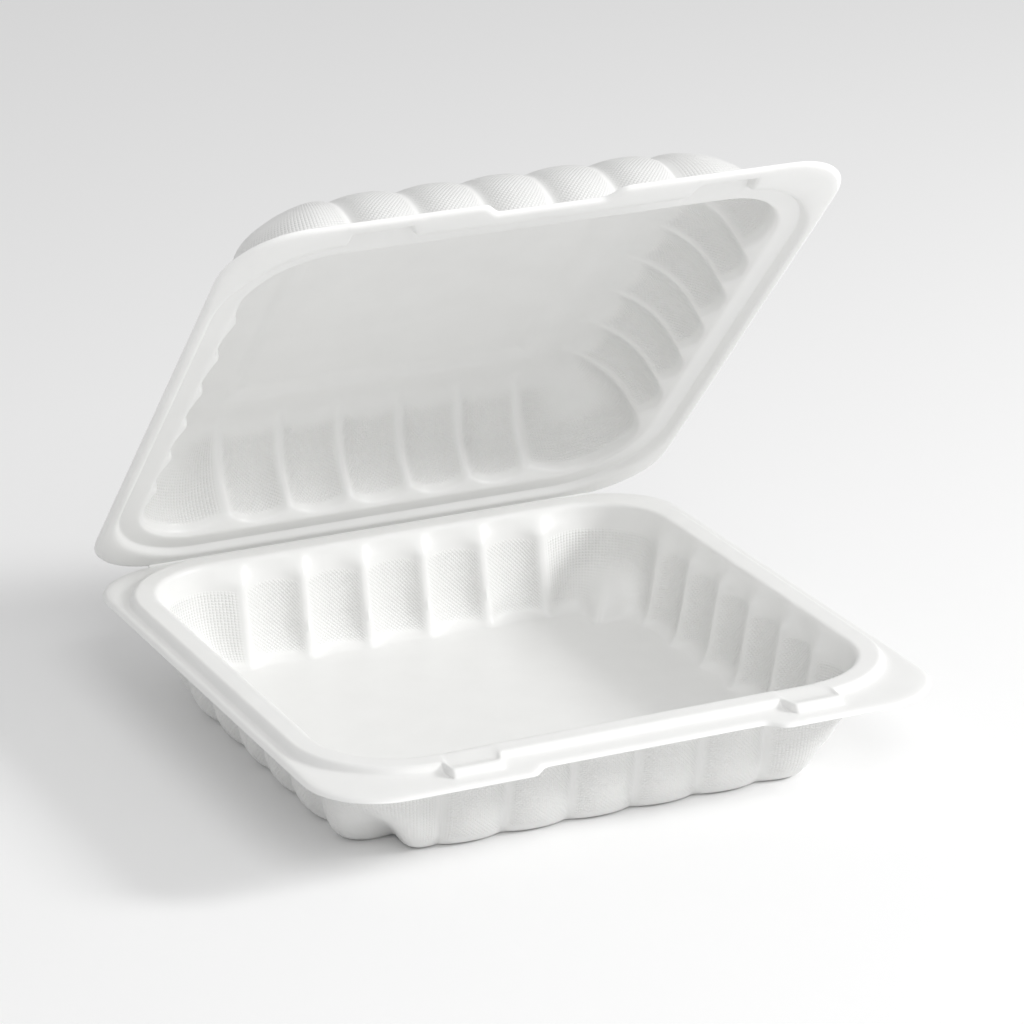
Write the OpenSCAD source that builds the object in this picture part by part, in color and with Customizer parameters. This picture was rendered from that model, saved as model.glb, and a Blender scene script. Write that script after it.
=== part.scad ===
// A hinged food container of thin moulded plastic sheet. A square base and a
// lid of the same plan are joined along one long fold at the back. The walls
// are fluted, the rim is a raised bead inside a flat flange, and two blocks on
// the front of the bead press into matching hollows in the lid.
// Millimetres. X runs to the right, Y from the front to the fold, Z up, and
// the middle of the underside is the origin.

/* [Overall size] */
// Width across the flange, which is also the plan of the bead's own square
body_w = 230; // [190:1:280]
// How far the front flange reaches beyond the square
front_reach = 9; // [7:0.5:14]
// Height of the closing plane over the underside
base_h = 37; // [30:0.5:60]
// Height of the lid from the closing plane to the top of its panel
lid_h = 39; // [32:0.5:60]
// Thickness of the sheet
sheet = 0.6; // [0.4:0.05:0.8]
// How far the lid stands open, measured from closed
lid_open = 45.5; // [0:0.5:175]

/* [Rim] */
// Width of the flat flange outside the bead
flange_w = 4.3; // [3.5:0.1:8]
// Height of the bead over the flange
bead_h = 2.75; // [2:0.05:4]
// Run of the bead's sloping outer face
bead_run = 2; // [1.5:0.1:4]
// Width of the flat top of the bead
band_w = 7.6; // [4:0.1:9]
// Drop of the turned edge of the flange
lip_drop = 1.2; // [0:0.1:2.5]
// Width of the rounding at the turned edge
lip_w = 0.8; // [0.4:0.1:2]
// Corner radius of the flange seen from above
flange_r = 26; // [15:1:35]
// Corner radius of the bead seen from above
bead_r = 40; // [30:1:46]

/* [Flutes] */
// Number of flutes on each straight wall
flutes = 5; // [3:2:7]
// Distance from the side of the square to the first valley
corner_reach = 54.6; // [48:0.2:64]
// Depth of the smooth band over the middle of a flute in the base
smooth_mid = 3.3; // [2:0.1:6]
// Further depth of the smooth band at a valley
scallop = 2.2; // [1:0.1:4]
// Further depth of the smooth band in the lid
lid_smooth_extra = 0.4; // [0:0.1:5]
// How deep a flute is at its end by the rim
flute_depth = 4.5; // [2:0.1:6]
// Slope of the base's crests, run for each unit of depth
crest_draft = 0.12; // [0.05:0.01:0.2]
// Slope of the base's valleys, run for each unit of depth
valley_draft = 0.2; // [0.12:0.01:0.4]
// Run of the rounding between a crest and the floor
crest_run = 8; // [5:0.5:12]
// Height of the rounding between a crest and the floor
crest_rise = 14; // [8:0.5:20]
// Run of the rounding between a valley and the floor
valley_run = 3; // [2:0.25:6]
// Height of the rounding between a valley and the floor
valley_rise = 8; // [3:0.25:10]
// Slope of the lid's crests, run for each unit of depth
lid_crest_draft = 0.1; // [0.05:0.01:0.2]
// Slope of the lid's valleys, run for each unit of depth
lid_valley_draft = 0.2; // [0.12:0.01:0.4]
// Run of the dome between a crest and the lid's top
lid_crest_run = 24; // [12:0.5:28]
// Height of the dome between a crest and the lid's top
lid_crest_rise = 26; // [16:0.5:30]
// Run of the dome between a valley and the lid's top
lid_valley_run = 20; // [10:0.5:24]
// Height of the dome between a valley and the lid's top
lid_valley_rise = 22; // [14:0.5:28]
// Shift of the side walls' flutes towards the fold
side_shift = 4; // [0:0.5:6]
// Shift of the base's front flutes to the left
base_front_shift = 4; // [0:0.5:6]
// How square a flute is across, two being a plain curve
flute_power = 2.4; // [2:0.1:3]
// Share of a flute's bulge that a corner has
corner_full = 0.9; // [0:0.05:1]
// Corner radius of the walls seen from above
wall_r = 27; // [20:1:36]
// Depth of the scoop low down on each corner of the base
scoop_in = 11; // [0:0.25:12]

/* [Front latches and edges] */
// Distance between the middles of the two latch blocks
latch_pitch = 127; // [120:1:134]
// Shift of the pair of blocks to the right
latch_shift = 3; // [-4:0.5:4]
// Length of one block along the front
latch_len = 23; // [18:0.5:26]
// How far a block stands out from the bead
latch_out = 7; // [4:0.25:8]
// Height of a block over the bead
latch_up = 0.4; // [0:0.05:1]
// Depth of the shallow pocket in a block's top
latch_pocket = 1.2; // [0:0.1:1.6]
// Length of a block's steep left end
latch_nose = 1.6; // [1.2:0.1:3]
// Length of a block's sloping right end
latch_tail = 4; // [2:0.25:6]
// Set back of the middle of the base's front edge
base_notch_d = 5.5; // [0:0.25:6.5]
// Width of that set back
base_notch_w = 88; // [60:1:96]
// Set back of the middle of the lid's front edge
lid_notch_d = 5.8; // [0:0.25:6.5]
// Width of that set back in the lid
lid_notch_w = 46; // [30:1:70]
// Length of the curve at each end of a set back
notch_ease = 7; // [4:0.5:12]

/* [Lid panel] */
// Half width of the raised square
panel_in = 57.2; // [40:0.2:60]
// Width of the slope around the raised square
panel_slope = 6.4; // [3:0.2:10]
// Height of the raised square
panel_up = 2; // [0.5:0.1:4]
// Corner radius of the raised square
panel_r = 3; // [2:0.25:6]

/* [Fits] */
// Gap between the two flanges when shut, and across the fold
flange_gap = 0.3; // [0.3:0.05:0.6]
// Clearance between the bead and the lid's step
nest = 0.4; // [0.35:0.05:0.8]

/* [Hidden] */
steps = 6;
half = body_w / 2;
span = half - corner_reach;
pitch = 2 * span / flutes;
shift_even = flutes % 2 == 1 ? 0 : 0.5;
face_slope = atan2(bead_h, bead_run);
lid_panel_d = lid_h - panel_up;
lid_flange_w = flange_w - 2 * sheet * tan(face_slope / 2)
    - (nest - flange_gap * cos(face_slope)) / sin(face_slope);
lid_bead_h = bead_h + nest - flange_gap;
hollow_grow = 2 * sheet + 3 * nest;
rim_rings = 5;
block_lean = 0.4;
pocket_in = 1.6;
pocket_share = 0.72;
block_reach = half - flange_w + latch_out - span;
scoop_top = 0.42;
scoop_width = 14;
flute_grow = 16;
wall_reach = corner_reach - 20;
turn_step = max(4, atan(side_shift / wall_reach));
base_mid = latch_shift;
floor_ring = 2.5;
floor_r = 20;
wall_top_run = 1.2;
same_place = 0.7;

tray_tone = [0.93, 0.93, 0.91];
lid_tone = [0.95, 0.95, 0.94];

// Which way each of the four sides faces, and which way it runs
out_dir = [[0, -1], [1, 0], [0, 1], [-1, 0]];
run_dir = [[1, 0], [0, 1], [-1, 0], [0, -1]];

function clamp01(v) = max(0, min(1, v));
function ease(v) = let(c = clamp01(v)) c * c * (3 - 2 * c);
function mix(a, b, v) = a + (b - a) * v;
function unit(v) = v / max(norm(v), 0.000001);

// Sorted list without places that nearly coincide
function sorted(a) = len(a) < 2 ? a : let(
    p = a[floor(len(a) / 2)],
    low = [for (v = a) if (v < p) v],
    mid = [for (v = a) if (v == p) v],
    high = [for (v = a) if (v > p) v])
    concat(sorted(low), [mid[0]], sorted(high));
function in_list(v, list) = len([for (w = list) if (abs(v - w) < same_place) 1]) > 0;

// Ends of the two blocks along X
function block_left(k) = latch_shift + (k - 0.5) * latch_pitch - latch_len / 2;
function block_right(k) = block_left(k) + latch_len;
block_marks = [for (k = [0, 1])
    for (v = [block_left(k) - hollow_grow, block_left(k), block_left(k) + latch_nose,
        block_right(k) - latch_tail, block_right(k) - latch_tail + hollow_grow,
        block_right(k) + hollow_grow]) v];

// One where a block is, falling to nothing over its two ends
function block_share(x, grow) = max([for (k = [0, 1])
    min(clamp01((x - block_left(k) + grow) / latch_nose),
        clamp01((block_right(k) + grow - x) / latch_tail))]);

// Places along one straight wall whose flutes are shifted by d
mark_step = pitch / steps;
function wall_marks(d) = [for (i = [0 : flutes * steps - 1])
    let(s = -span + d - mark_step * floor(d / mark_step) + i * mark_step) if (span - s > same_place) s];
near_marks = [for (v = block_marks) if (abs(v) < span - same_place) v];
function front_marks(d) = sorted(concat(near_marks,
    [for (v = wall_marks(d)) if (!in_list(v, near_marks)) v]));

// Angles round a corner, as seen from the corner's own middle
corner_marks = [0, turn_step, 16, 25, 34, 43, 52, 60, 68, 76, 90 - turn_step];
function turn_of(x) = atan((x - span) / block_reach);
right_turns = [for (v = block_marks) if (v > span + same_place) turn_of(v)];
left_turns = [for (v = block_marks) if (v < -span - same_place) 90 - turn_of(-v)];
front_right_marks = sorted(concat(right_turns, [4],
    [for (v = corner_marks) if (len([for (w = right_turns) if (abs(v - w) < 1.4) 1]) == 0) v]));
front_left_marks = sorted(concat(left_turns, [86.5],
    [for (v = corner_marks) if (len([for (w = left_turns) if (abs(v - w) < 1.4) 1]) == 0) v]));

// How far each side's flutes are shifted along its own run
function shift_of(k, f) = [f, side_shift, 0, -side_shift][k];

// How full a flute is at a place w from the middle of its side's flutes: nothing
// at a valley, one at its middle, and growing into the corner past the last valley
function grown(w) = corner_full * (1 - pow(1 - clamp01((abs(w) - span) / flute_grow), 2));
function flute_at(w) = let(u = w / pitch + shift_even)
    abs(w) <= span ? 1 - pow(2 * abs(u - round(u)), flute_power) : grown(w);
function turn_full(k, a, f) = let(
    w1 = span + wall_reach * tan(min(a, 80)) - shift_of(k, f),
    w2 = span + wall_reach * tan(min(90 - a, 80)) + shift_of((k + 1) % 4, f))
    w1 <= span ? flute_at(w1) : w2 <= span ? flute_at(w2) : min(grown(w1), grown(w2));

// One sample: side, 0 straight or 1 corner, place, fullness, X used for blocks
function wall_sample(k, s, f) = [k, 0, s, flute_at(s - shift_of(k, f)), k == 0 ? s : 9999];
function corner_x(k, a) = k == 0 ? span + block_reach * tan(min(a, 70))
    : k == 3 ? -span - block_reach * tan(min(90 - a, 70)) : 9999;
function corner_sample(k, a, f) = [k, 1, a, turn_full(k, a, f), corner_x(k, a)];
function samples(f) = concat(
    [for (s = front_marks(f)) wall_sample(0, s, f)],
    [for (a = front_right_marks) corner_sample(0, a, f)],
    [for (s = wall_marks(side_shift)) wall_sample(1, s, f)],
    [for (a = corner_marks) corner_sample(1, a, f)],
    [for (s = wall_marks(0)) wall_sample(2, s, f)],
    [for (a = corner_marks) corner_sample(2, a, f)],
    [for (s = wall_marks(-side_shift)) wall_sample(3, s, f)],
    [for (a = front_left_marks) corner_sample(3, a, f)]);
tray_samples = samples(-base_front_shift);
lid_samples = samples(0);

// Distance from a corner's own middle to a rounded corner at angle a
function corner_far(a, l1, l2, r) = let(
    rr = min(r, l1, l2),
    d = [cos(a), sin(a)],
    c = [l1 - rr, l2 - rr],
    q = l1 / max(d[0], 0.0001),
    w = l2 / max(d[1], 0.0001),
    m = d * c)
    q * d[1] <= c[1] ? q : w * d[0] <= c[0] ? w
    : m + sqrt(max(0, m * m - c * c + rr * rr));

// A point in plan: extra reach of the sides, inset, corner radius
function plan(sm, reach1, reach2, inset, r) = let(
    k = sm[0],
    n = out_dir[k],
    t = run_dir[k],
    c = min(span, half - inset - panel_r),
    l1 = half + reach1 - inset - c,
    l2 = half + reach2 - inset - c)
    sm[1] == 0 ? n * (half + reach1 - inset) + t * sm[2] * c / span
    : (n + t) * c + (n * cos(sm[2]) + t * sin(sm[2])) * corner_far(sm[2], l1, l2, r);

// Reach of the flange's edge beyond the square on one side
function notch(x, mid, w, d) = d * (1 - ease((abs(x - mid) - w / 2 + notch_ease / 2) / notch_ease));
function edge_reach(k, x, mid, w, d) = k == 0 ? front_reach - notch(x, mid, w, d)
    : k == 2 ? -flange_gap / 2 : 0;
// The turned edge is left off along the fold
function lip_share(sm) = let(k = sm[0], a = sm[2])
    sm[1] == 0 ? (k == 2 ? 0 : 1)
    : k == 1 ? clamp01((62 - a) / 12) : k == 2 ? clamp01((a - 28) / 12) : 1;

function bottom_round(d, total, run, rise) = let(u = clamp01((d - total + rise) / rise))
    run * (1 - sqrt(max(0, 1 - u * u)));
// A wall's slopes and roundings: draft, run and rise
base_crest = [crest_draft, crest_run, crest_rise];
base_valley = [valley_draft, valley_run, valley_rise];
lid_crest = [lid_crest_draft, lid_crest_run, lid_crest_rise];
lid_valley = [lid_valley_draft, lid_valley_run, lid_valley_rise];
function crest_in(d, total, top, first, c) = top + c[0] * (d - first) + bottom_round(d, total, c[1], c[2]);
function valley_in(d, total, top, first, c) = top + flute_depth + c[0] * (d - first - scallop)
    + bottom_round(d, total, c[1], c[2]);

// Levels down a wall, as shares of the depth below the smooth band
levels = [0, 0.08, 0.24, 0.42, 0.6, 0.76, 0.88, 0.96, 1];

// Rim points of one sample from the edge inwards, heights from the flange
function rim_points(sm, fw, bh, mid, nw, nd, grow, room, pocket, up) = let(
    k = sm[0],
    kn = (k + 1) % 4,
    far = edge_reach(k, sm[1] == 0 ? sm[2] : 9999, mid, nw, nd),
    next = edge_reach(kn, 9999, mid, nw, nd),
    b = block_share(sm[4], grow),
    out = latch_out + room,
    rise = bh + (latch_up + room) * b,
    a = plan(sm, far, next, 0, flange_r),
    e = plan(sm, far, next, lip_w, flange_r - lip_w),
    f = plan(sm, 0, 0, fw - out * b, bead_r),
    c = plan(sm, 0, 0, fw + bead_run - (out + block_lean) * b, bead_r - bead_run),
    p = plan(sm, 0, 0, fw + bead_run + pocket_in - out * pocket_share * b, bead_r - bead_run),
    q = plan(sm, 0, 0, fw + bead_run + band_w, bead_r - bead_run - band_w))
    [[a[0], a[1], -lip_drop * lip_share(sm)],
     [e[0], e[1], 0],
     [f[0], f[1], 0],
     [c[0], c[1], up * rise],
     [p[0], p[1], up * (rise - pocket * b)],
     [q[0], q[1], up * bh]];

// The scoop low down on each corner, as an extra inset
function scoop(sm, share, deep) = sm[1] == 0 ? 0 : deep * exp(-pow((sm[2] - 45) / scoop_width, 2))
    * ease((share - scoop_top) / (0.96 - scoop_top));

// Wall points of one sample down to the floor, heights from the flange
function wall_points(sm, total, top, first, crest, valley, deep) = let(f = sm[3])
    [for (v = levels) let(
        d = mix(first + scallop * (1 - f), total, v),
        inset = v == 0 ? top + flute_depth * (1 - f)
            : mix(valley_in(d, total, top, first, valley), crest_in(d, total, top, first, crest), f),
        p = plan(sm, 0, 0, inset + scoop(sm, d / total, deep), wall_r))
        [p[0], p[1], -d]];

tray_flange = base_h - flange_gap / 2 - sheet;
wall_top = flange_w + bead_run + band_w + wall_top_run;
lid_wall_top = lid_flange_w + bead_run + band_w + wall_top_run;

// Outer skin of the base as one list of points for each sample
function tray_column(sm) = let(
    rim = rim_points(sm, flange_w, bead_h, base_mid, base_notch_w, base_notch_d, 0, 0, latch_pocket, 1),
    wall = wall_points(sm, tray_flange, wall_top, smooth_mid, base_crest, base_valley, scoop_in),
    low = plan(sm, 0, 0, valley_in(tray_flange, tray_flange, wall_top, smooth_mid, base_valley)
        + floor_ring + scoop(sm, 1, scoop_in), floor_r))
    [for (p = concat(rim, wall, [[low[0], low[1], -tray_flange]])) p + [0, 0, tray_flange]];

lid_depth = lid_panel_d - flange_gap / 2 - sheet;
// Outer skin of the lid, with its depth counted downwards as in the base
function lid_column(sm) = let(
    rim = rim_points(sm, lid_flange_w, lid_bead_h, 0, lid_notch_w, lid_notch_d, hollow_grow, nest, 0, -1),
    wall = wall_points(sm, lid_depth, lid_wall_top, smooth_mid + lid_smooth_extra, lid_crest, lid_valley, 0),
    low = plan(sm, 0, 0, half - panel_in - panel_slope, panel_r),
    high = plan(sm, 0, 0, half - panel_in, panel_r))
    concat(rim, [for (i = [0 : len(wall) - 1]) if (i != 1) wall[i]],
        [[low[0], low[1], -lid_depth], [high[0], high[1], -lid_depth - panel_up]]);

// The second skin lies one sheet inside the first
function cross_turn(g, i, j, n, m) = let(
    p = g[i][j],
    a = unit(p - g[(i + n - 1) % n][j]),
    b = unit(g[(i + 1) % n][j] - p),
    c = j > 0 ? unit(p - g[i][j - 1]) : unit(g[i][j + 1] - p),
    d = j < m - 1 ? unit(g[i][j + 1] - p) : unit(p - g[i][j - 1]),
    w = unit(cross(a + b, c + d)))
    w / max(0.62, norm(a + b) * norm(c + d) / 4);
// On the rim the second skin is exactly one sheet higher
function second_skin(g, i, j, n, m) = let(w = cross_turn(g, i, j, n, m))
    g[i][j] + sheet * (j > 0 && j <= rim_rings ? [w[0], w[1], 1] : w);

// Each four-sided patch is cut in two along the same diagonal on both sides of a flute
function cut_patch(a, b, c, d, rising) = rising ? [[a, b, c], [a, c, d]] : [[a, b, d], [b, c, d]];

module shell(g, list, flip) {
    n = len(g);
    m = len(g[0]);
    mid = g[0][m - 1][2];
    way = flip ? -1 : 1;
    first = [for (i = [0 : n - 1]) for (j = [0 : m - 1]) g[i][j]];
    second = [for (i = [0 : n - 1]) for (j = [0 : m - 1])
        second_skin(g, i, j, n, m)];
    all_points = concat(first, second, [[0, 0, mid], [0, 0, mid + sheet]]);
    pts = [for (p = all_points) [p[0], p[1], way * p[2]]];
    o = n * m;
    patches = [for (i = [0 : n - 1]) let(k = (i + 1) % n, up = list[i][3] < list[k][3])
        for (j = [0 : m - 2])
            for (t = cut_patch(i * m + j, k * m + j, k * m + j + 1, i * m + j + 1, up)) t];
    faces = concat(
        patches,
        [for (t = patches) [o + t[0], o + t[2], o + t[1]]],
        [for (i = [0 : n - 1]) let(k = (i + 1) % n)
            for (t = [[i * m, o + i * m, o + k * m], [i * m, o + k * m, k * m]]) t],
        [for (i = [0 : n - 1]) let(k = (i + 1) % n) [i * m + m - 1, k * m + m - 1, 2 * o]],
        [for (i = [0 : n - 1]) let(k = (i + 1) % n) [o + k * m + m - 1, o + i * m + m - 1, 2 * o + 1]]);
    polyhedron(points = pts, faces = flip ? [for (f = faces) [f[2], f[1], f[0]]] : faces, convexity = 10);
}

module tray() {
    color(tray_tone)
    shell([for (sm = tray_samples) tray_column(sm)], tray_samples, false);
}

module lid() {
    color(lid_tone)
    translate([0, half, base_h])
    rotate([-lid_open, 0, 0])
    translate([0, -half, flange_gap / 2 + sheet])
    shell([for (sm = lid_samples) lid_column(sm)], lid_samples, true);
}

tray();
lid();
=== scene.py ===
import math

import bmesh
import bpy
import numpy as np
from mathutils import Matrix, Vector


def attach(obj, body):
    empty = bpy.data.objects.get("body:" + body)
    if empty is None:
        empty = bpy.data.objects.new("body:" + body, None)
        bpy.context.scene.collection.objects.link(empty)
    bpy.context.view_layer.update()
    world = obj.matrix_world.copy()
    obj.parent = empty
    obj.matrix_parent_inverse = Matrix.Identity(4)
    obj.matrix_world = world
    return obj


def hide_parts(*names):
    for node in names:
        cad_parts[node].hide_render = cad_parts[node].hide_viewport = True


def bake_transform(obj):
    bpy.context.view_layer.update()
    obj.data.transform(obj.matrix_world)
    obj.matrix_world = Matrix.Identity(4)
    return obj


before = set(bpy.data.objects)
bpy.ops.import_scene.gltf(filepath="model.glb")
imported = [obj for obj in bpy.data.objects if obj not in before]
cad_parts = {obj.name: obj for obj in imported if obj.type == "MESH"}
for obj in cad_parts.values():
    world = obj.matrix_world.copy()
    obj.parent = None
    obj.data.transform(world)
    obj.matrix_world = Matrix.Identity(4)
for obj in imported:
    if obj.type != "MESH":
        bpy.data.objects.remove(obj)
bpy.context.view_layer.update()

MM = 0.001

# Sizes, in millimetres
HALF = 115.0            # half the width of the flange square
FRONT_REACH = 9.0       # how far the front flange reaches beyond the square
BASE_H = 37.0           # height of the closing plane
LID_H = 39.0            # height of the lid over the closing plane
SHEET = 0.6             # thickness of the sheet
LID_OPEN = 45.5         # how far the lid stands open
FLANGE_GAP = 0.3        # gap between the flanges when shut
NEST = 0.4              # room between the bead and the lid's step

FLANGE_W = 4.3          # width of the flat flange outside the bead
BEAD_H = 2.75           # height of the bead over the flange
BEAD_RUN = 2.0          # run of the bead's sloping outer face
BAND_W = 7.6            # width of the flat top of the bead
LIP_DROP = 1.2          # drop of the turned edge of the flange
LIP_W = 0.8             # width of the rounding at the turned edge
LIP_END, LIP_FADE = 28, 12   # degrees from the fold at which it ends, and over which it fades
FLANGE_R = 26.0         # corner radius of the flange seen from above
BEAD_R = 40.0           # corner radius of the bead seen from above
WALL_TOP_RUN = 1.2      # from the bead's inner edge to the top of the wall

FLUTES = 5              # flutes on each straight wall
SPAN = HALF - 54.6      # half the fluted length of a wall
PITCH = 2 * SPAN / FLUTES
FLUTE_STEPS = 22        # places round the rim on each flute
TURN_STEP = 1.9         # degrees between places on a corner
TURN_STEP_FINE = 0.6    # the same beside a latch block
LAST_PLACE, LAST_TURN = 0.2, 89.0   # nearer than this to the next stretch, no more places are set
STEEPEST_BLOCK, STEEPEST = 70, 80   # angles over which a tangent isn't taken, for blocks and for flutes
SMOOTH_MID = 3.3        # depth of the smooth band over the middle of a flute
SCALLOP = 2.2           # further depth of the band at a valley
LID_SMOOTH_EXTRA = 0.4  # further depth of the band in the lid
FLUTE_DEPTH = 4.5       # how deep a flute is at its end by the rim
# A wall's slope, and the run and rise of its rounding into the floor or the lid's top
BASE_CREST = (0.12, 8.0, 14.0)
BASE_VALLEY = (0.2, 3.0, 8.0)
LID_CREST = (0.1, 24.0, 26.0)
LID_VALLEY = (0.2, 20.0, 22.0)
FLUTE_POWER = 2.4       # how square a flute is across
CORNER_FULL = 0.9       # share of a flute's bulge that a corner has
FLUTE_GROW = 16.0       # length over which a corner's bulge grows
WALL_REACH = 34.6       # from a corner's own middle to the wall
WALL_R = 27.0           # corner radius of the walls seen from above
SIDE_STEP = PITCH / 6   # shift of the side walls' flutes towards the fold
SCOOP_IN = 11.0         # depth of the scoop low down on each corner of the base
SCOOP_WIDTH, SCOOP_TOP, SCOOP_LOW = 14.0, 0.42, 0.96   # its width in degrees and its shares of the depth
FLOOR_RING, FLOOR_R = 2.5, 20.0   # width and corner radius of the floor's outer ring

LATCH_PITCH, LATCH_SHIFT, LATCH_LEN = 127.0, 3.0, 23.0
LATCH_OUT, LATCH_UP, LATCH_POCKET = 7.0, 0.4, 1.2
LATCH_NOSE, LATCH_TAIL = 1.6, 4.0
BLOCK_LEAN, POCKET_IN, POCKET_SHARE = 0.4, 1.6, 0.72
BASE_NOTCH, LID_NOTCH = (LATCH_SHIFT, 88.0, 5.5), (0.0, 46.0, 5.8)
NOTCH_EASE = 7.0

PANEL_IN, PANEL_SLOPE, PANEL_UP, PANEL_R = 57.2, 6.4, 2.0, 3.0   # half width, slope, height, corner
PANEL_RING = 6.0        # how far inside the panel's edge the next ring lies
FOLD_R, FOLD_HALF = 0.75, 89.5    # half thickness and half length of the fold

BLOCK_REACH = HALF - FLANGE_W + LATCH_OUT - SPAN
HOLLOW_GROW = 2 * SHEET + 3 * NEST   # how much longer a hollow is than its block
FAR = 9999.0            # a place that no block and no set back reaches
FACE_SLOPE = math.atan2(BEAD_H, BEAD_RUN)
LID_FLANGE_W = (FLANGE_W - 2 * SHEET * math.tan(FACE_SLOPE / 2)
                - (NEST - FLANGE_GAP * math.cos(FACE_SLOPE)) / math.sin(FACE_SLOPE))
LID_BEAD_H = BEAD_H + NEST - FLANGE_GAP

OUT = np.array([[0, -1], [1, 0], [0, 1], [-1, 0]], float)
RUN = np.array([[1, 0], [0, 1], [-1, 0], [0, -1]], float)


# The section that both halves share
def ease(v):
    c = np.clip(v, 0, 1)
    return c * c * (3 - 2 * c)


def walk_round():
    """The places round the rim: side, 0 straight or 1 corner, place along the side or angle."""
    fine = []
    for k in (0, 1):
        left = LATCH_SHIFT + (k - 0.5) * LATCH_PITCH - LATCH_LEN / 2
        fine.append((left - HOLLOW_GROW - 1, left + LATCH_LEN + HOLLOW_GROW + 1))
    rows = []
    for side in range(4):
        step = PITCH / FLUTE_STEPS
        s = -SPAN
        while s < SPAN - LAST_PLACE:
            rows.append((side, 0, s))
            near = side == 0 and any(a < s < b for a, b in fine)
            s += step / 2 if near else step
        a = 0.0
        while a < LAST_TURN:
            rows.append((side, 1, a))
            x = SPAN + BLOCK_REACH * math.tan(math.radians(min(a, STEEPEST_BLOCK)))
            y = SPAN + BLOCK_REACH * math.tan(math.radians(min(90 - a, STEEPEST_BLOCK)))
            near = (side == 0 and x < fine[1][1]) or (side == 3 and -y > fine[0][0])
            a += TURN_STEP_FINE if near else TURN_STEP
    return np.array(rows)


ROUND = walk_round()      # anticlockwise from the left end of the front
SIDE = ROUND[:, 0].astype(int)
TURN = ROUND[:, 1] > 0.5
PLACE = ROUND[:, 2]
COUNT = len(ROUND)
NEXT = (SIDE + 1) % 4
ANGLE = np.radians(np.where(TURN, PLACE, 0))


def past_span(reach, angle, steepest):
    """Where a corner's angle meets the line of a wall that is this far from the corner's middle."""
    return SPAN + reach * np.tan(np.radians(np.minimum(angle, steepest)))


def fullness(front_step):
    """Nothing at a valley, one along the middle of a flute, for a shift of the front wall's flutes.

    A corner grows from its two neighbouring walls' last valleys.
    """
    steps = np.array([front_step, SIDE_STEP, 0.0, -SIDE_STEP])
    first = np.where(TURN, past_span(WALL_REACH, PLACE, STEEPEST), PLACE) - steps[SIDE]
    second = np.where(TURN, past_span(WALL_REACH, 90 - PLACE, STEEPEST), FAR) + steps[NEXT]

    def flute(w):
        u = w / PITCH
        return 1 - (2 * np.abs(u - np.round(u))) ** FLUTE_POWER

    def grown(w):
        return CORNER_FULL * (1 - (1 - np.clip((np.abs(w) - SPAN) / FLUTE_GROW, 0, 1)) ** 2)

    return np.where(np.abs(first) <= SPAN, flute(first),
                    np.where(np.abs(second) <= SPAN, flute(second), np.minimum(grown(first), grown(second))))


TRAY_FULL = fullness(-SIDE_STEP)
LID_FULL = fullness(0.0)
FRONT_X = np.select([TURN & (SIDE == 0), TURN & (SIDE == 3), ~TURN & (SIDE == 0)],
                    [past_span(BLOCK_REACH, PLACE, STEEPEST_BLOCK),
                     -past_span(BLOCK_REACH, 90 - PLACE, STEEPEST_BLOCK), PLACE], FAR)


def block_share(grow):
    share = np.zeros(COUNT)
    for k in (0, 1):
        left = LATCH_SHIFT + (k - 0.5) * LATCH_PITCH - LATCH_LEN / 2
        right = left + LATCH_LEN
        rise = ease((FRONT_X - left + grow) / LATCH_NOSE)
        fall = ease((right + grow - FRONT_X) / LATCH_TAIL)
        share = np.maximum(share, np.minimum(rise, fall))
    return share


def corner_far(l1, l2, r):
    rr = np.minimum(np.minimum(r, l1), l2)
    d0, d1 = np.cos(ANGLE), np.sin(ANGLE)
    c0, c1 = l1 - rr, l2 - rr
    q = l1 / np.maximum(d0, 1e-4)
    w = l2 / np.maximum(d1, 1e-4)
    m = d0 * c0 + d1 * c1
    arc = m + np.sqrt(np.maximum(0, m * m - c0 * c0 - c1 * c1 + rr * rr))
    return np.where(q * d1 <= c1, q, np.where(w * d0 <= c0, w, arc))


def plan(inset, r, reach1=0.0, reach2=0.0):
    """Where each place lies in plan, for an inset from the square and a corner radius."""
    inset = np.broadcast_to(np.asarray(inset, float), (COUNT,))
    c = np.minimum(SPAN, HALF - inset - PANEL_R)
    l1 = HALF + reach1 - inset - c
    l2 = HALF + reach2 - inset - c
    n, t = OUT[SIDE], RUN[SIDE]
    far = corner_far(l1, l2, r)[:, None]
    turn = (n + t) * c[:, None] + (n * np.cos(ANGLE)[:, None] + t * np.sin(ANGLE)[:, None]) * far
    straight = n * (HALF + reach1 - inset)[:, None] + t * (PLACE * c / SPAN)[:, None]
    return np.where(TURN[:, None], turn, straight)


def at(xy, z):
    return np.column_stack([xy, np.broadcast_to(np.asarray(z, float), (COUNT,))])


def edge_reach(side, x, notch):
    mid, width, depth = notch
    cut = depth * (1 - ease((np.abs(x - mid) - width / 2 + NOTCH_EASE / 2) / NOTCH_EASE))
    return np.where(side == 0, FRONT_REACH - cut, np.where(side == 2, -FLANGE_GAP / 2, 0.0))


def lip_share():
    """The turned edge is left off along the fold and fades out on the two corners beside it."""
    share = np.where(~TURN & (SIDE == 2), 0.0, 1.0)
    share = np.where(TURN & (SIDE == 1), np.clip((90 - LIP_END - PLACE) / LIP_FADE, 0, 1), share)
    return np.where(TURN & (SIDE == 2), np.clip((PLACE - LIP_END) / LIP_FADE, 0, 1), share)


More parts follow.
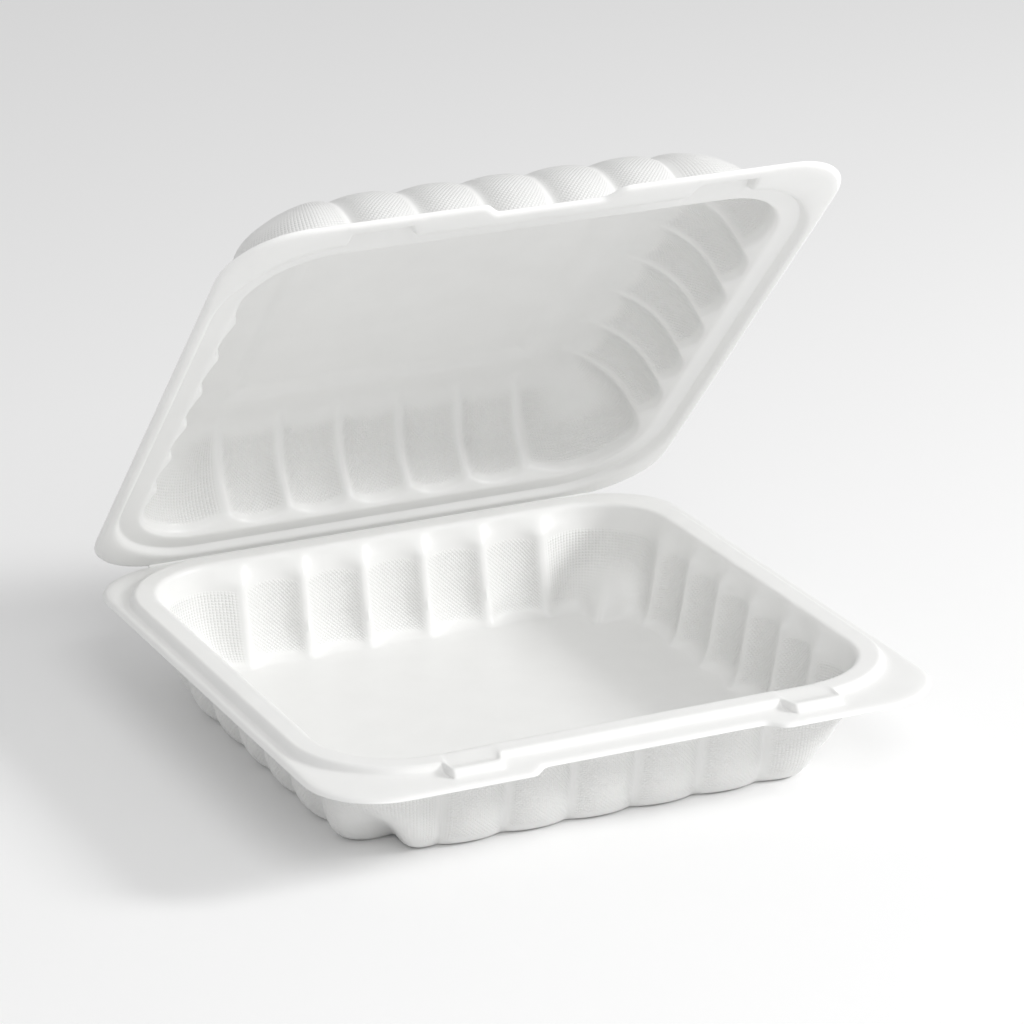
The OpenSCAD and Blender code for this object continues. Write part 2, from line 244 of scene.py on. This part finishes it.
def rim_rings(flange_w, bead_h, notch, grow, room, pocket, up):
    """Control rings from the turned edge of the flange in to the top of the wall."""
    x = np.where(TURN, FAR, PLACE)
    r1, r2 = edge_reach(SIDE, x, notch), edge_reach(NEXT, FAR, notch)
    b = block_share(grow)
    out = LATCH_OUT + room
    rise = bead_h + (LATCH_UP + room) * b
    lip = lip_share()
    crest_w = flange_w + BEAD_RUN
    return [
        at(plan(0, FLANGE_R, r1, r2), -LIP_DROP * lip),
        at(plan(LIP_W, FLANGE_R - LIP_W, r1, r2), 0),
        at(plan(flange_w - out * b, BEAD_R), 0),
        at(plan(crest_w - (out + BLOCK_LEAN) * b, BEAD_R - BEAD_RUN), up * rise),
        at(plan(crest_w + POCKET_IN - out * POCKET_SHARE * b, BEAD_R - BEAD_RUN), up * (rise - pocket * b)),
        at(plan(crest_w + BAND_W, BEAD_R - BEAD_RUN - BAND_W), up * bead_h),
    ]


def bottom_round(d, total, run, rise):
    u = np.clip((d - total + rise) / rise, 0, 1)
    return run * (1 - np.sqrt(np.maximum(0, 1 - u * u)))


def scoop(share, deep):
    """A corner's extra inset at a share of the wall's depth, deepest at the corner's middle."""
    across = np.exp(-((PLACE - 45) / SCOOP_WIDTH) ** 2)
    return np.where(TURN, deep * across * ease((share - SCOOP_TOP) / (SCOOP_LOW - SCOOP_TOP)), 0.0)


def wall_ring(full, v, total, top, first, c, w, deep):
    """One ring of the wall at the share v of its depth below the smooth band.

    c and w are the crests' and the valleys' slope, run and rise; deep is the scoop on the corners.
    """
    start = first + SCALLOP * (1 - full)
    d = start + (total - start) * v
    crest = top + c[0] * (d - first) + bottom_round(d, total, c[1], c[2])
    valley = (top + FLUTE_DEPTH + w[0] * (d - first - SCALLOP)
              + bottom_round(d, total, w[1], w[2]))
    inset = valley + (crest - valley) * full
    begin = top + FLUTE_DEPTH * (1 - full)
    inset = begin + (inset - begin) * ease(v / FULL_LEVEL)
    return at(plan(inset + scoop(d / total, deep), WALL_R), -d)


FULL_LEVEL = 0.07       # share of the wall's depth at which its slope has started
WALL_LEVELS = [0, 0.02, 0.045, 0.07, 0.11, 0.16, 0.22, 0.29, 0.36, 0.43, 0.5, 0.57, 0.63, 0.69, 0.75, 0.8,
               0.845, 0.88, 0.91, 0.935, 0.957, 0.974, 0.987, 0.995, 1.0]


RIM_PARTS = [3, 5, 6, 4, 7, 7]    # rings between the control rings of the rim
PANEL_PARTS = [3, 4, 2]           # the same for the lid's panel
CLOSING_RINGS = (0.7, 0.4, 0.15, 0.03)   # sizes of the rings inside the last one
WALL_START = sum(RIM_PARTS) + 1
ROUND_RINGS = 4                   # rings of the wall that are rounded together with the rim


def dense(controls, parts):
    """Adds evenly spaced rings between control rings."""
    rings = [controls[0]]
    for a, b, n in zip(controls, controls[1:], parts):
        rings += [a + (b - a) * (i + 1) / n for i in range(n)]
    return rings


def soften(g, passes, rings=None, around=0):
    """Rounds corners along the section (rings) and along the rim (around)."""
    for _ in range(passes):
        s = g.copy()
        s[1:-1] = (g[:-2] + 2 * g[1:-1] + g[2:]) / 4
        if rings is not None:
            s[rings:] = g[rings:]
        g = s
    for _ in range(around):
        g = (np.roll(g, 1, 1) + 2 * g + np.roll(g, -1, 1)) / 4
    return g


def closed_in(g):
    """Shrinks the last ring towards its middle, so that the flat inside it has rings too."""
    last = g[-1]
    middle = last.mean(axis=0)
    return np.concatenate([g, [middle + (last - middle) * k for k in CLOSING_RINGS]])


def tray_rings():
    depth = BASE_H - FLANGE_GAP / 2 - SHEET
    top = FLANGE_W + BEAD_RUN + BAND_W + WALL_TOP_RUN
    wall = [wall_ring(TRAY_FULL, v, depth, top, SMOOTH_MID, BASE_CREST, BASE_VALLEY, SCOOP_IN)
            for v in WALL_LEVELS]
    rim = rim_rings(FLANGE_W, BEAD_H, BASE_NOTCH, 0.0, 0.0, LATCH_POCKET, 1)
    rim = dense(rim + wall[:1], RIM_PARTS)
    foot = top + FLUTE_DEPTH + BASE_VALLEY[0] * (depth - SMOOTH_MID - SCALLOP) + BASE_VALLEY[1]
    floor = [at(plan(foot + e + scoop(1.0, SCOOP_IN), FLOOR_R), -depth) for e in (FLOOR_RING / 2, FLOOR_RING)]
    g = np.array(rim + wall[1:] + floor)
    g = soften(g, 2, len(rim) + ROUND_RINGS, 1)
    g[-len(floor) - 1:, :, 2] = -depth
    g[:, :, 2] += depth
    return closed_in(g * MM)


def lid_rings():
    depth = LID_H - PANEL_UP - FLANGE_GAP / 2 - SHEET
    top = LID_FLANGE_W + BEAD_RUN + BAND_W + WALL_TOP_RUN
    first = SMOOTH_MID + LID_SMOOTH_EXTRA
    wall = [wall_ring(LID_FULL, v, depth, top, first, LID_CREST, LID_VALLEY, 0.0) for v in WALL_LEVELS]
    rim = rim_rings(LID_FLANGE_W, LID_BEAD_H, LID_NOTCH, HOLLOW_GROW, NEST, 0.0, -1)
    rim = dense(rim + wall[:1], RIM_PARTS)
    low = at(plan(HALF - PANEL_IN - PANEL_SLOPE, PANEL_R), -depth)
    high = at(plan(HALF - PANEL_IN, PANEL_R), -depth - PANEL_UP)
    inner = at(plan(HALF - PANEL_IN + PANEL_RING, PANEL_R), -depth - PANEL_UP)
    floor = dense([wall[-1], low, high, inner], PANEL_PARTS)[1:]
    g = np.array(rim + wall[1:] + floor)
    g = soften(g, 2, len(rim) + ROUND_RINGS, 1)
    g[:, :, 2] = -g[:, :, 2] + FLANGE_GAP / 2 + SHEET + BASE_H
    g *= MM
    turn = math.radians(LID_OPEN)
    y, z = g[:, :, 1] - HALF * MM, g[:, :, 2] - BASE_H * MM
    out = g.copy()
    out[:, :, 1] = HALF * MM + y * math.cos(turn) + z * math.sin(turn)
    out[:, :, 2] = BASE_H * MM - y * math.sin(turn) + z * math.cos(turn)
    return closed_in(out)


# Modelling
def deselect():
    if bpy.context.mode != "OBJECT":
        bpy.ops.object.mode_set(mode="OBJECT")
    bpy.ops.object.select_all(action="DESELECT")


def apply_modifier(obj, kind, **settings):
    deselect()
    bpy.context.view_layer.objects.active = obj
    obj.select_set(True)
    bpy.ops.object.modifier_add(type=kind)
    mod = obj.modifiers[-1]
    for key, value in settings.items():
        setattr(mod, key, value)
    bpy.ops.object.modifier_apply(modifier=mod.name)


def drawn_sheet(name, rings):
    """A loop of edges is drawn inwards ring by ring and closed in the middle."""
    deselect()
    bpy.ops.mesh.primitive_circle_add(vertices=COUNT, radius=HALF * MM, fill_type="NOTHING",
                                      location=(0, 0, 0))
    obj = bpy.context.active_object
    obj.name = obj.data.name = name
    bpy.ops.object.mode_set(mode="EDIT")
    bm = bmesh.from_edit_mesh(obj.data)
    bm.verts.layers.int.new("place")
    bm.verts.layers.int.new("ring")
    place = bm.verts.layers.int["place"]
    order = sorted(bm.verts, key=lambda v: math.atan2(v.co.y, v.co.x))
    for i, v in enumerate(order):
        v[place] = i
        v.co = rings[0][i]
    bmesh.update_edit_mesh(obj.data)
    for j in range(1, len(rings)):
        bpy.ops.mesh.extrude_edges_move()
        bm = bmesh.from_edit_mesh(obj.data)
        place = bm.verts.layers.int["place"]
        ring = bm.verts.layers.int["ring"]
        for v in bm.verts:
            if v.select:
                v.co = rings[j][v[place]]
                v[ring] = j
        bmesh.update_edit_mesh(obj.data)
    bpy.ops.mesh.merge(type="CENTER")
    bpy.ops.object.mode_set(mode="OBJECT")
    me = obj.data
    middle = Vector(rings.reshape(-1, 3).mean(axis=0))
    near = min(me.polygons, key=lambda p: (p.center - Vector(rings[-1].mean(axis=0))).length)
    if near.normal.dot(middle - near.center) > 0:
        me.flip_normals()
    return obj


# Where the grid starts and over how much it fades, as shares of the wall's depth or of a flute's fullness
GRID_TOP, GRID_LOW, GRID_EDGE, GRID_DIP = (0.06, 0.05), (0.93, 0.08), (0.12, 0.3), (0.45, 0.2)
GRID_DIP_WIDTH = SCOOP_WIDTH * 1.5


def grid_share(count, full):
    """Where the pressed grid is: on the flutes, away from their valleys, ends and the corner scoops."""
    share = np.zeros((count, COUNT))
    first = WALL_START
    for i, v in enumerate(WALL_LEVELS[1:]):
        ends = ease((v - GRID_TOP[0]) / GRID_TOP[1]) * ease((GRID_LOW[0] - v) / GRID_LOW[1])
        edge = ease((full - GRID_EDGE[0]) / GRID_EDGE[1])
        dip = np.exp(-((PLACE - 45) / GRID_DIP_WIDTH) ** 2) * ease((v - GRID_DIP[0]) / GRID_DIP[1])
        dip = np.where(TURN, dip, 0.0)
        share[first + i] = ends * edge * (1 - dip)
    return share


def add_surface_map(obj, rings, full):
    """UV in metres along the surface: u round the rim, v down the section, and a mask of the fluted part."""
    mid = rings[len(rings) // 2]
    along = np.concatenate([[0], np.cumsum(np.linalg.norm(np.diff(mid, axis=0), axis=1))])
    down = np.concatenate([[0], np.cumsum(np.linalg.norm(np.diff(rings, axis=0), axis=2).mean(axis=1))])
    me = obj.data
    n = len(me.vertices)
    place, ring = np.zeros(n, np.int32), np.zeros(n, np.int32)
    me.attributes["place"].data.foreach_get("value", place)
    me.attributes["ring"].data.foreach_get("value", ring)
    loops = np.zeros(len(me.loops), np.int32)
    me.loops.foreach_get("vertex_index", loops)
    layer = me.uv_layers.new(name="surface")
    u, v = along[place[loops]], down[ring[loops]]
    starts = np.zeros(len(me.polygons), np.int32)
    totals = np.zeros(len(me.polygons), np.int32)
    me.polygons.foreach_get("loop_start", starts)
    me.polygons.foreach_get("loop_total", totals)
    whole = along[-1] + np.linalg.norm(mid[0] - mid[-1])
    pl = place[loops]
    for s, t in zip(starts, totals):
        if t == 4:
            q = pl[s:s + 4]
            if q.max() - q.min() > COUNT // 2:
                w = u[s:s + 4]
                w[q < COUNT // 2] += whole
    layer.data.foreach_set("uv", np.column_stack([u, v]).astype(np.float32).ravel())
    mask = me.attributes.new("grid_mask", "FLOAT", "POINT")
    share = grid_share(len(rings), full)
    mask.data.foreach_set("value", share[ring, place].astype(np.float32))
    corner = me.attributes.new("corner_share", "FLOAT", "POINT")
    corner.data.foreach_set("value", TURN[place].astype(np.float32))


# Materials
SLANT_PITCH = 1.15 * MM * math.sqrt(2)   # the slanting grid, measured along the rim
COLUMN_PITCH, CROSS_PITCH = 1.35 * MM, 1.1 * MM
GRID_DEPTH = 0.2 * MM
PILLOW_POWER = 0.6      # under one makes the raised cells flatter on top
SMOOTH_ANGLE = math.radians(50)


def link(tree, a, b):
    tree.links.new(a, b)


def math_node(tree, op, a, b=None, c=None):
    node = tree.nodes.new("ShaderNodeMath")
    node.operation = op
    for i, v in enumerate((a, b, c)):
        if v is None:
            continue
        if isinstance(v, (int, float)):
            node.inputs[i].default_value = v
        else:
            link(tree, v, node.inputs[i])
    return node.outputs[0]


def embossed_grid():
    """A fine grid pressed into the sheet: slanting on the straight walls, upright on the corners."""
    g = bpy.data.node_groups.new("embossed_grid", "ShaderNodeTree")
    g.interface.new_socket("Place", in_out="INPUT", socket_type="NodeSocketVector")
    g.interface.new_socket("Mask", in_out="INPUT", socket_type="NodeSocketFloat")
    g.interface.new_socket("Corner", in_out="INPUT", socket_type="NodeSocketFloat")
    g.interface.new_socket("Height", in_out="OUTPUT", socket_type="NodeSocketFloat")
    i, o = g.nodes.new("NodeGroupInput"), g.nodes.new("NodeGroupOutput")
    sep = g.nodes.new("ShaderNodeSeparateXYZ")
    link(g, i.outputs["Place"], sep.inputs[0])
    u, v = sep.outputs[0], sep.outputs[1]

    def pillows(a, b, pitch_a, pitch_b):
        wave = [math_node(g, "ABSOLUTE", math_node(g, "SINE", math_node(g, "MULTIPLY", way, math.pi / pitch)))
                for way, pitch in ((a, pitch_a), (b, pitch_b))]
        return math_node(g, "POWER", math_node(g, "MULTIPLY", wave[0], wave[1]), PILLOW_POWER)

    slant = pillows(math_node(g, "ADD", u, v), math_node(g, "SUBTRACT", u, v), SLANT_PITCH, SLANT_PITCH)
    upright = pillows(u, v, COLUMN_PITCH, CROSS_PITCH)
    part = math_node(g, "MULTIPLY", math_node(g, "SUBTRACT", upright, slant), i.outputs["Corner"])
    both = math_node(g, "ADD", slant, part)
    link(g, math_node(g, "MULTIPLY", both, i.outputs["Mask"]), o.inputs["Height"])
    return g


def milky_sheet(grid):
    mat = bpy.data.materials.new("milky_sheet")
    mat.use_nodes = True
    t = mat.node_tree
    bsdf = t.nodes["Principled BSDF"]
    coord = t.nodes.new("ShaderNodeTexCoord")
    noise = t.nodes.new("ShaderNodeTexNoise")
    noise.inputs["Scale"].default_value = 60.0
    noise.inputs["Detail"].default_value = 4.0
    link(t, coord.outputs["Object"], noise.inputs["Vector"])
    ramp = t.nodes.new("ShaderNodeMapRange")
    ramp.inputs["To Min"].default_value = 0.30
    ramp.inputs["To Max"].default_value = 0.42
    link(t, noise.outputs[0], ramp.inputs["Value"])
    link(t, ramp.outputs[0], bsdf.inputs["Roughness"])
    mix = t.nodes.new("ShaderNodeMix")
    mix.data_type = "RGBA"
    mix.inputs[6].default_value = (0.84, 0.84, 0.83, 1)
    mix.inputs[7].default_value = (0.89, 0.89, 0.88, 1)
    link(t, noise.outputs[0], mix.inputs[0])
    link(t, mix.outputs[2], bsdf.inputs["Base Color"])
    bsdf.inputs["Subsurface Weight"].default_value = 0.12
    bsdf.inputs["Subsurface Radius"].default_value = (1.0, 1.0, 1.0)
    bsdf.inputs["Subsurface Scale"].default_value = 0.001
    bsdf.inputs["IOR"].default_value = 1.49
    uv = t.nodes.new("ShaderNodeUVMap")
    uv.uv_map = "surface"
    mask = t.nodes.new("ShaderNodeAttribute")
    mask.attribute_name = "grid_mask"
    press = t.nodes.new("ShaderNodeGroup")
    press.node_tree = grid
    link(t, uv.outputs[0], press.inputs["Place"])
    link(t, mask.outputs["Fac"], press.inputs["Mask"])
    corner = t.nodes.new("ShaderNodeAttribute")
    corner.attribute_name = "corner_share"
    link(t, corner.outputs["Fac"], press.inputs["Corner"])
    bump = t.nodes.new("ShaderNodeBump")
    bump.inputs["Strength"].default_value = 1.0
    bump.inputs["Distance"].default_value = GRID_DEPTH
    link(t, press.outputs["Height"], bump.inputs["Height"])
    link(t, bump.outputs[0], bsdf.inputs["Normal"])
    return mat


# The pieces
sheet_material = milky_sheet(embossed_grid())

for node_name, body, rings, full in (("tray", "base", tray_rings(), TRAY_FULL),
                                     ("lid", "cover", lid_rings(), LID_FULL)):
    piece = drawn_sheet(node_name + "_sheet", rings)
    add_surface_map(piece, rings, full)
    apply_modifier(piece, "SOLIDIFY", thickness=SHEET * MM, offset=-1.0, use_even_offset=True, use_rim=True,
                   thickness_clamp=0.0)
    deselect()
    bpy.context.view_layer.objects.active = piece
    piece.select_set(True)
    bpy.ops.object.shade_smooth_by_angle(angle=SMOOTH_ANGLE)
    piece.data.materials.clear()
    piece.data.materials.append(sheet_material)
    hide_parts(node_name)
    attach(piece, body)

# The fold is one line of thinned sheet that bends between the two halves.
deselect()
bpy.ops.mesh.primitive_cylinder_add(vertices=20, radius=FOLD_R * MM, depth=2 * FOLD_HALF * MM,
                                    location=(0, HALF * MM, BASE_H * MM), rotation=(0, math.pi / 2, 0))
fold = bpy.context.active_object
fold.name = fold.data.name = "fold_strip"
bpy.ops.object.transform_apply(location=True, rotation=True, scale=True)
bpy.ops.object.shade_smooth_by_angle(angle=SMOOTH_ANGLE)
fold.data.materials.append(sheet_material)
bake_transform(fold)

# Floor, lights and camera
FLOOR_SIZE = 12
ROOM_LIGHT = 0.56
deselect()
bpy.ops.mesh.primitive_plane_add(size=FLOOR_SIZE, location=(0, 0, 0))
floor = bpy.context.active_object
floor.name = "floor"
floor_mat = bpy.data.materials.new("pale_floor")
floor_mat.use_nodes = True
floor_bsdf = floor_mat.node_tree.nodes["Principled BSDF"]
floor_bsdf.inputs["Base Color"].default_value = (0.95, 0.95, 0.95, 1)
floor_bsdf.inputs["Roughness"].default_value = 0.85
floor.data.materials.append(floor_mat)

world = bpy.data.worlds.new("soft_room")
bpy.context.scene.world = world
world.use_nodes = True
world.node_tree.nodes["Background"].inputs["Color"].default_value = (1, 1, 1, 1)
world.node_tree.nodes["Background"].inputs["Strength"].default_value = ROOM_LIGHT
bpy.context.scene.view_settings.view_transform = "Standard"


def area_light(name, where, aim, size, power):
    data = bpy.data.lights.new(name, "AREA")
    data.shape = "RECTANGLE"
    data.size, data.size_y = size
    data.energy = power
    obj = bpy.data.objects.new(name, data)
    bpy.context.collection.objects.link(obj)
    obj.location = where
    obj.rotation_euler = (Vector(aim) - Vector(where)).to_track_quat("-Z", "Y").to_euler()


area_light("key_light", (1.5, -0.9, 0.95), (0, 0, 0.08), (0.45, 0.45), 21)
area_light("front_light", (-0.1, -1.3, 1.35), (0, 0.05, 0.08), (0.9, 0.9), 8)


PHOTO_SIZE = 1024       # the photo is this many pixels square
SENSOR_W = 36


def photo_camera():
    """The camera that was fitted to the photo, its focal length and centre in pixels, angles in degrees."""
    focal, cx, cy = 4604.3, 497.9, 512.0
    az, el, roll = math.radians(24.309), math.radians(19.64), math.radians(-0.836)
    where = Vector((-627.0, -1387.9, 587.1 + BASE_H)) * MM
    ahead = Vector((math.sin(az) * math.cos(el), math.cos(az) * math.cos(el), -math.sin(el)))
    right = Vector((math.cos(az), -math.sin(az), 0))
    up = right.cross(ahead)
    r2 = right * math.cos(roll) + up * math.sin(roll)
    u2 = -right * math.sin(roll) + up * math.cos(roll)
    half = PHOTO_SIZE / 2
    middle = (ahead + r2 * ((half - cx) / focal) - u2 * ((half - cy) / focal)).normalized()
    r3 = (r2 - middle * r2.dot(middle)).normalized()
    u3 = r3.cross(middle)
    data = bpy.data.cameras.new("photo_camera")
    data.sensor_width = SENSOR_W
    data.lens = focal / PHOTO_SIZE * SENSOR_W
    data.clip_start, data.clip_end = 0.05, 20
    obj = bpy.data.objects.new("photo_camera", data)
    bpy.context.collection.objects.link(obj)
    turn = Matrix((r3, u3, -middle)).transposed()
    obj.matrix_world = Matrix.Translation(where) @ turn.to_4x4()
    bpy.context.scene.camera = obj


photo_camera()
